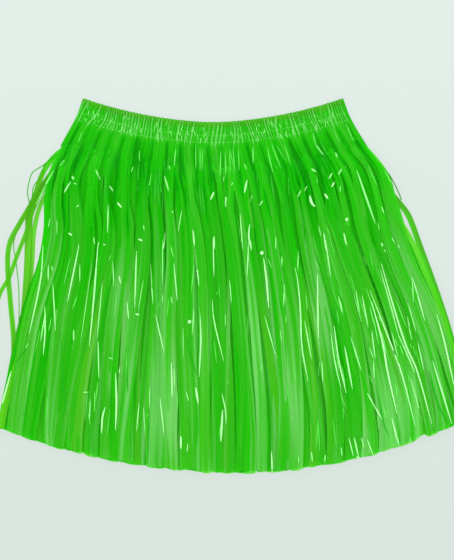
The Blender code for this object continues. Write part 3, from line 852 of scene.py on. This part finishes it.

# %% [markdown]
# Where the film has been folded hard, in its bag or by hand, it keeps a fine ridge. These ridges lie all over
# the strips, long and short, some with a shaded side. A ridge is a strip of film a millimetre wide that lies
# on the pile, bent upwards along its middle, and its colour is painted light: pale along the ridge as a
# painted glint, and dark green on a shaded side as painted shade. Their routes are lists of places again, in
# millimetres on the table, and a ray that is dropped on the finished strips says how high each ridge lies.

# %% The creases
CREASES = {
    # width: a row of x and y for each crease of that width, in mm
    0.9: ((-141, 25, -154, -66), (-88, -29, -82, 6), (12, -33, 12, -47), (-214, -66, -217, -73),
      (96, -196, 96, -204), (-189, 77, -191, 66), (-181, 75, -181, 58), (71, 161, 81, 144),
      (151, 138, 150, 135), (187, 72, 189, 63)),
    1.0: ((-60, 52, -60, 1), (-60, -11, -60, -21), (-75, -117, -75, -140), (177, -71, 182, -84),
      (224, -174, 226, -183), (-38, 86, -42, 61), (-156, 47, -157, 40), (136, 181, 144, 164),
      (144, 114, 144, 107), (119, 68, 122, 56)),
    1.1: ((-155, 25, -155, 4), (-187, 22, -186, 16), (-129, 5, -135, -61), (-117, 27, -116, -1),
      (-50, -13, -49, -21), (-24, -27, -26, -57), (-122, -83, -117, -85), (-143, -131, -144, -156),
      (-47, -94, -46, -117), (-33, -122, -30, -133), (-31, -182, -32, -192), (17, 6, 19, -20),
      (41, 52, 42, 41), (77, 33, 77, 22), (96, 40, 95, 17), (162, -6, 166, -31), (221, -36, 226, -63),
      (226, 10, 228, -20), (222, -21, 231, -54), (203, -54, 210, -82), (224, -105, 235, -144, 239, -159),
      (168, -175, 171, -186), (127, -195, 126, -203), (145, -186, 146, -196), (191, 49, 192, 44),
      (194, 41, 196, 38), (-153, 177, -157, 165), (-139, 55, -138, 47), (-133, 50, -135, 40),
      (-87, 155, -87, 142), (-22, 161, -22, 133), (-17, 158, -17, 132), (-14, 158, -15, 132),
      (12, 154, 12, 126), (17, 157, 23, 132), (21, 160, 23, 129), (-73, 129, -77, 104), (-82, 69, -81, 63),
      (-33, 172, -32, 166), (80, 162, 87, 140), (176, 137, 186, 114), (99, 109, 95, 101),
      (106, 114, 103, 108), (70, 56, 70, 41), (191, 90, 194, 82), (192, 48, 193, 45), (203, 55, 207, 46),
      (12, 149, 13, 129), (17, 154, 18, 129), (21, 157, 23, 129), (27, 157, 28, 132), (19, 115, 21, 118)),
    1.2: ((-195, -34, -200, -64), (-151, -123, -145, -123), (-87, -135, -90, -168), (-82, -140, -80, -173),
      (80, 1, 79, -24), (182, -87, 183, -107), (57, -35, 71, -84), (123, -87, 124, -112),
      (190, 18, 204, -31, 212, -61), (233, -66, 240, -98), (111, -191, 112, -203), (210, 46, 212, 43),
      (-162, 117, -159, 116), (-159, 90, -156, 92), (7, 155, 6, 124), (-49, 85, -48, 83),
      (-150, 191, -147, 190), (-127, 192, -126, 190), (65, 164, 70, 150, 76, 135), (113, 176, 116, 162),
      (151, 186, 160, 166), (117, 128, 118, 117), (43, 103, 40, 96), (29, 82, 32, 41), (60, 159, 67, 129)),
    1.3: ((-191, 23, -191, 5), (-186, 3, -183, -52), (-74, 25, -71, -22), (-47, 25, -43, -18),
      (-2, 52, -1, 10), (-3, -17, -1, -40, 10, -87), (-162, -51, -162, -64), (-101, -19, -99, -39),
      (-68, -34, -58, -78), (-134, -64, -133, -107), (-109, -94, -112, -117), (-63, -129, -58, -173),
      (8, -124, 12, -142, 13, -159), (39, 50, 37, 10), (127, 52, 133, 10), (142, -13, 146, -31),
      (169, -12, 176, -48), (180, -52, 184, -84), (103, -41, 111, -85), (133, -54, 138, -89, 145, -119),
      (156, -59, 168, -98), (211, -57, 230, -101), (154, -175, 159, -196), (175, -177, 182, -196),
      (-128, 47, -125, 46), (-122, 92, -123, 60), (-94, 137, -96, 130), (-45, 157, -47, 137),
      (-53, 138, -52, 133), (11, 126, 9, 118), (-140, 201, -139, 195), (-53, 178, -50, 175),
      (55, 97, 51, 91), (44, 159, 44, 140), (34, 140, 36, 133), (12, 102, 13, 90), (196, 130, 203, 117)),
    1.5: ((-197, 45, -200, 6, -213, -56), (-156, 45, -169, -19), (-110, 11, -108, 2), (-90, 39, -92, -26),
      (-24, 50, -18, -1), (-195, -24, -195, -54, -197, -80), (-17, -33, -16, -61, -18, -105),
      (92, 20, 95, 6, 98, -26, 100, -71, 107, -110), (178, -6, 198, -57, 214, -100, 230, -161),
      (227, 8, 241, -41), (160, -175, 165, -197), (65, -191, 66, -216), (-173, 144, -178, 137),
      (-165, 120, -173, 106), (-57, 61, -59, 41), (116, 162, 125, 150), (148, 60, 151, 46),
      (125, 60, 128, 40)),
    1.6: ((-134, 48, -138, -6, -144, -70), (-50, -89, -49, -129), (118, 13, 118, -10, 119, -61),
      (137, -47, 142, -85, 151, -124), (149, -70, 158, -119), (175, -124, 192, -154),
      (191, 25, 205, -24, 219, -68, 232, -98, 249, -159), (250, -87, 262, -126, 272, -159),
      (255, -33, 265, -71, 275, -117), (203, -152, 212, -186), (-121, 114, -117, 108), (13, 101, 12, 90),
      (-25, 64, -23, 41), (139, 153, 141, 147), (40, 70, 39, 56, 42, 40)),
    1.7: ((-114, -101, -113, -135, -114, -166), (-126, -140, -129, -152, -130, -170),
      (-185, 132, -197, 110, -206, 93), (-137, 133, -132, 121), (-112, 95, -107, 89), (-58, 126, -53, 108),
      (135, 129, 131, 122), (146, 134, 142, 127), (138, 119, 134, 113), (37, 121, 34, 106)),
    1.8: ((-91, -33, -87, -34), (-39, -173, -39, -188), (-234, -99, -246, -143),
      (180, -19, 193, -68, 198, -98, 209, -147), (-168, 60, -164, 57)),
    1.9: ((56, 31, 59, 8, 62, -26), (163, -197, 167, -199), (-88, 53, -83, 51), (-1, 107, -5, 98)),
    2.0: ((-22, -117, -19, -136), (9, -143, 7, -180), (-1, 56, -1, 41), (126, 105, 130, 99),
      (163, 132, 171, 108, 184, 71)),
    2.1: ((111, 134, 117, 130),),
    2.5: ((-164, 126, -162, 121), (109, 103, 111, 95, 115, 90)),
    3.6: ((150, 76, 153, 75),),
    3.8: ((-31, -42, -27, -42),),
    4.0: ((52, 37, 56, 37),),
}
SHADED = {
    0.9: ((-222, -147, -213, -151),),
    1.1: ((-31, -151, -28, -177), (-177, -54, -175, -107, -170, -151), (-76, -142, -77, -203),
      (61, -36, 70, -82), (135, -47, 143, -98), (-124, 124, -124, 101)),
    1.2: ((-214, -70, -229, -89), (-84, 171, -84, 165)),
    1.3: ((-101, -92, -100, -124), (-31, 112, -30, 86), (102, 73, 103, 48), (82, 107, 85, 73),
      (149, 117, 160, 73)),
    1.5: ((-32, -59, -29, -78, -20, -104), (-72, 172, -73, 159)),
    1.6: ((185, -114, 194, -159, 200, -175),),
    1.7: ((196, 134, 202, 124, 207, 108),),
    1.8: ((246, -98, 255, -133, 266, -158),),
    2.0: ((133, -26, 146, -54),),
}
# Colours of painted light along the creases: painted shade at 0, a painted glint at 1.
GLINT_AND_SHADE_COLOURS = ((0, "#0A9A04"), (0.45, "#58D048"), (1, "#AAEC9E"))
CREASE_STEP = 1.5 * MM
CREASE_GAP = 0.12 * MM
CREASE_BROADER = 1.12
FINE_ABOVE = 122  # mm on the table, about where the slits begin
FINE_GREENER = 0.3
CHANCE_CREASES = (
    # how many, then from and to: share across, mm below the waist's edge, length mm, width mm, strength of
    # the painted glint
    (60, (-0.93, 0.93), (100, 350), (5, 34), (0.6, 1.2), (0.3, 0.6)),
    (40, (0.45, 0.85), (100, 350), (5, 34), (0.6, 1.2), (0.3, 0.6)),  # more to the right, as in the photo
    (170, (-0.96, 0.96), (1, 22), (3, 8), (0.5, 0.9), (0.25, 0.75)),  # painted glints on wrinkles of the waistband
    (40, (-0.93, 0.93), (27, 78), (12, 36), (1.1, 2.2), (0.0, 0.1)),  # shaded sides of the sharpest folds
)


def crease_glint_and_shade_film():
    """The same film, pale along creases as a painted glint and dark on the shaded side of a fold as painted
    shade.
    """
    material, tree = new_material("polyethylene_film_painted_glints_and_shade")
    glint_and_shade = node(tree, "ShaderNodeAttribute", attribute_name="glint_and_shade").outputs["Fac"]
    plastic = node(tree, "ShaderNodeBsdfPrincipled", {
        "Base Color": colour_ramp(tree, glint_and_shade, GLINT_AND_SHADE_COLOURS), "Roughness": 0.2, "IOR": 1.5,
        "Specular IOR Level": 0.12, "Specular Tint": (0.7, 1.0, 0.6, 1.0)})
    node(tree, "ShaderNodeOutputMaterial", {"Surface": plastic})
    return material


def crease_tree():
    tree, given = new_tree("creases_in_film", CREASE_SIZES)
    maths = maths_in(tree)
    said = said_in(tree, "width", "across")
    ribbons = swept(tree, given["Lines"], 0.0, said["width"], 2)
    middle = maths("SUBTRACT", 1.0, maths("ABSOLUTE", maths("MULTIPLY_ADD", said["across"], 2.0, -1.0)))
    rise = maths("MULTIPLY", maths("MULTIPLY", middle, given["Bend"]), said["width"])
    up = node(tree, "ShaderNodeCombineXYZ", {2: rise})
    bent = node(tree, "GeometryNodeSetPosition", {"Geometry": ribbons, "Offset": up})
    return ended(tree, bent, given["Film"])


def tree_of_faces(piece):
    mesh = piece.data
    places = [vertex.co.copy() for vertex in mesh.vertices]
    return BVHTree.FromPolygons(places, [tuple(face.vertices) for face in mesh.polygons])


film_faces = [tree_of_faces(piece) for piece in (tube, *pieces)]


def film_height(x, y):
    """How high the uppermost film lies at a place on the table."""
    hits = [faces.ray_cast((x, y, 1.0), (0, 0, -1))[0] for faces in film_faces]
    return max((hit.z for hit in hits if hit), default=0.0)


def crease_line(width, route, glint_and_shade):
    count = 5 + int(np.linalg.norm(np.subtract(route[-2:], route[:2])) * MM / CREASE_STEP)
    x, y, at = smooth_route(route, count)
    z = np.array([film_height(*place) for place in zip(x, y)])
    high = np.maximum(z, np.maximum(np.append(z[1:], z[-1]), np.append(z[0], z[:-1])))
    high = np.convolve(np.pad(high, 1, mode="edge"), (0.25, 0.5, 0.25), mode="valid")
    taper = np.sqrt(np.sin(math.pi * np.clip(at / at[-1], 0.03, 0.97)))
    facts = {"width": CREASE_BROADER * width * MM * taper, "glint_and_shade": glint_and_shade}
    return np.stack([x, y, high + CREASE_GAP], axis=1), facts


def glint_strength(width, route):
    """Wide creases get a brighter painted glint, and the fine ones above the slits stay green."""
    return min(1.0, 0.22 + 0.45 * width) - FINE_GREENER * (route[1] > FINE_ABOVE)


def chance_crease(dice, across, drop, length, width, glint_and_shade):
    """A short crease between two places across the skirt, more often low than high."""
    side = dice.uniform(*across)
    depth = top_depth(side) + (drop[0] + (drop[1] - drop[0]) * dice.random() ** 0.7) * MM
    x0, y0 = on_table(side, depth)
    x1, y1 = on_table(side + dice.gauss(0, 0.006), depth + dice.uniform(*length) * MM)
    return crease_line(dice.uniform(*width), np.array([x0, y0, x1, y1]) / MM, dice.uniform(*glint_and_shade))


dice = random.Random(5)
lines = []
for width, routes in CREASES.items():
    lines += [crease_line(width, route, glint_strength(width, route)) for route in routes]
for width, routes in SHADED.items():
    lines += [crease_line(width, route, 0.0) for route in routes]
for count, *ranges in CHANCE_CREASES:
    lines += [chance_crease(dice, *ranges) for _ in range(count)]
CREASE_SIZES = {"Bend": 0.3, "Film": crease_glint_and_shade_film()}  # how high the middle stands, as a share of the width
creases = grown(guide_object("creases", lines), crease_tree(), CREASE_SIZES)
facing_up(creases)
print("creases", len(lines), "with", len(creases.data.polygons) * 2, "triangles")

# %% [markdown]
# Two rows of stitches run round the band, above and below the elastic. A sewing machine lays them at an
# even pitch, so a tree puts one short bent piece of thread at each step of a line along the row. The
# thread is a spun green one, a little paler than the film.

# %% The two rows of stitches
FRONT_STITCH = FRONT_FLOOR + 0.55 * MM  # how high the rows lie above the table
BACK_STITCH = 0.3 * MM
ROW_END = 0.97
ROW_POINTS = 120


def thread():
    material, tree = new_material("sewing_thread_polyester_green")
    spun = node(tree, "ShaderNodeBsdfPrincipled", {"Base Color": linear("#66DC50"), "Roughness": 0.5})
    node(tree, "ShaderNodeOutputMaterial", {"Surface": spun})
    return material


def stitch_tree():
    tree, given = new_tree("row_of_stitches", STITCH_SIZES)
    maths = maths_in(tree)
    row = node(tree, "GeometryNodeMeshToCurve", {"Mesh": given["Lines"]})
    level = node(tree, "GeometryNodeSetCurveNormal", {"Curve": row}, mode="Z_UP")
    pitch = {"Curve": level, "Length": given["Pitch"]}
    points = node(tree, "GeometryNodeCurveToPoints", pitch, mode="LENGTH")
    half = maths("MULTIPLY", given["Length"], 0.5)
    first = node(tree, "ShaderNodeCombineXYZ", {0: maths("MULTIPLY", half, -1.0)})
    last = node(tree, "ShaderNodeCombineXYZ", {0: half})
    over = node(tree, "ShaderNodeCombineXYZ", {2: given["Arch"]})
    bend = node(tree, "GeometryNodeCurveQuadraticBezier", {
        "Resolution": 4, "Start": first, "Middle": over, "End": last})
    radius = maths("MULTIPLY", given["Thickness"], 0.5)
    ring = node(tree, "GeometryNodeCurvePrimitiveCircle", {"Resolution": 5, "Radius": radius})
    stitch = node(tree, "GeometryNodeCurveToMesh", {"Curve": bend, "Profile Curve": ring, "Fill Caps": True})
    along = points.outputs["Tangent"]
    turn = node(tree, "FunctionNodeAlignRotationToVector", {"Vector": along}, axis="X", pivot_axis="Z")
    row_of = node(tree, "GeometryNodeInstanceOnPoints", {
        "Points": points.outputs["Points"], "Instance": stitch, "Rotation": turn})
    return ended(tree, row_of, given["Thread"])


rows = []
for depth in (ELASTIC_DEPTH, BAND_DEPTH):
    across = np.linspace(-ROW_END, ROW_END, ROW_POINTS)
    x, y = on_table(across, top_depth(across) + depth)
    for height in (FRONT_STITCH, BACK_STITCH):
        rows.append((np.stack([x, y, np.full(ROW_POINTS, height)], axis=1), {}))
STITCH_SIZES = {
    "Pitch": 2.6 * MM, "Length": 2.2 * MM, "Thickness": 0.35 * MM, "Arch": 0.5 * MM, "Thread": thread()}
stitches = grown(guide_object("stitches", rows), stitch_tree(), STITCH_SIZES)
print("stitches", len(stitches.data.polygons) * 2, "triangles")

# %% [markdown]
# Every piece is tied to the frame: all of them ride on its one body, the tube takes the place of the
# band's and the yoke's solids, and each layer of strips takes the place of its own.

# %% Pieces and the frame
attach(tube, "root")
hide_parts("waistband", "yoke")
for piece, layer in zip(pieces, LAYERS):
    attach(piece, "root")
    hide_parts(layer[0])
for piece in (creases, stitches):
    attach(piece, "root")

# %% [markdown]
# The skirt lies on a plain pale table under soft studio light: four wide boxes far away that the glossy film
# mirrors as streaks, one pale panel for the broad sheens, and an even pale room. The table's top glows by
# itself as painted light, a little brighter towards the far side, so that the skirt casts hardly any shadow
# on it. The camera looks straight down, as the photographer's did, from so high that the table shows no
# perspective to speak of.

# %% The table, the light and the camera
TABLE_REACH = 60.0
TABLE_DROP = 0.3 * MM  # a hair below the film


def plain_table():
    material, tree = new_material("table_top_pale_with_painted_glow")
    paint = node(tree, "ShaderNodeBsdfDiffuse", {"Color": (0.60, 0.66, 0.63, 1.0)})
    place = node(tree, "ShaderNodeTexCoord").outputs["Object"]
    place = node(tree, "ShaderNodeSeparateXYZ", {0: place}).outputs["Y"]
    painted_glow_falloff = node(tree, "ShaderNodeMapRange", {
        "Value": place, "From Min": -0.3, "From Max": 0.3, "To Min": 0.917, "To Max": 1.024})
    # Most of the table's colour is its own glow, painted light that thins the skirt's shadows and grows a
    # little brighter towards the far side.
    glow = node(tree, "ShaderNodeEmission", {"Color": linear("#DEE9E3"), "Strength": painted_glow_falloff})
    both = node(tree, "ShaderNodeMixShader", {0: 0.88, 1: paint, 2: glow})
    node(tree, "ShaderNodeOutputMaterial", {"Surface": both})
    low = (0, 0, -TABLE_DROP)
    bpy.ops.mesh.primitive_circle_add(vertices=64, radius=TABLE_REACH, fill_type="NGON", location=low)
    table = bpy.context.object
    table.name = "floor"
    table.data.materials.append(material)


LIGHTS = (
    # name, azimuth, degrees from straight above, degrees wide, degrees tall, radiance
    ("left_softbox", 180, 50, 36, 12, 8.0),
    ("right_softbox", 0, 50, 36, 12, 4.2),
    ("far_softbox", 90, 52, 28, 10, 6.6),
    ("near_softbox", 270, 55, 28, 10, 3.6),
    ("pale_panel", 20, 27, 34, 14, 3.5),
)
LIGHT_DISTANCE = 20.0


def softbox(name, azimuth, lean, wide, tall, radiance):
    size = [2 * LIGHT_DISTANCE * math.tan(math.radians(angle) / 2) for angle in (wide, tall)]
    lamp = bpy.data.lights.new(name, "AREA")
    lamp.shape = "RECTANGLE"
    lamp.size, lamp.size_y = size
    lamp.energy = radiance * math.pi * size[0] * size[1]
    holder = new_object(name, lamp)
    turn, down = math.radians(azimuth), math.radians(lean)
    holder.location = [LIGHT_DISTANCE * c for c in
                       (math.cos(turn) * math.sin(down), math.sin(turn) * math.sin(down), math.cos(down))]
    holder.rotation_euler = (down, 0, turn + math.pi / 2)
    holder.visible_camera = False


plain_table()
for row in LIGHTS:
    softbox(*row)

world = bpy.data.worlds.new("studio")
world.use_nodes = True
bpy.context.scene.world = world
world.node_tree.nodes["Background"].inputs["Color"].default_value = (0.92, 1.0, 0.96, 1.0)
world.node_tree.nodes["Background"].inputs["Strength"].default_value = 0.98

VIEW_LONG = 0.644  # metres of table along the picture's long side
CAMERA_AT = (0.0140, 0.0059)
CAMERA_HEIGHT = 1.8
SKIRT_LEVEL = 8 * MM
lens = bpy.data.cameras.new("camera")
lens.sensor_width = 36.0
lens.lens = lens.sensor_width * (CAMERA_HEIGHT - SKIRT_LEVEL) / VIEW_LONG
camera = new_object("camera", lens)
camera.location = (*CAMERA_AT, CAMERA_HEIGHT)
bpy.context.scene.camera = camera
bpy.context.scene.view_settings.view_transform = "Standard"
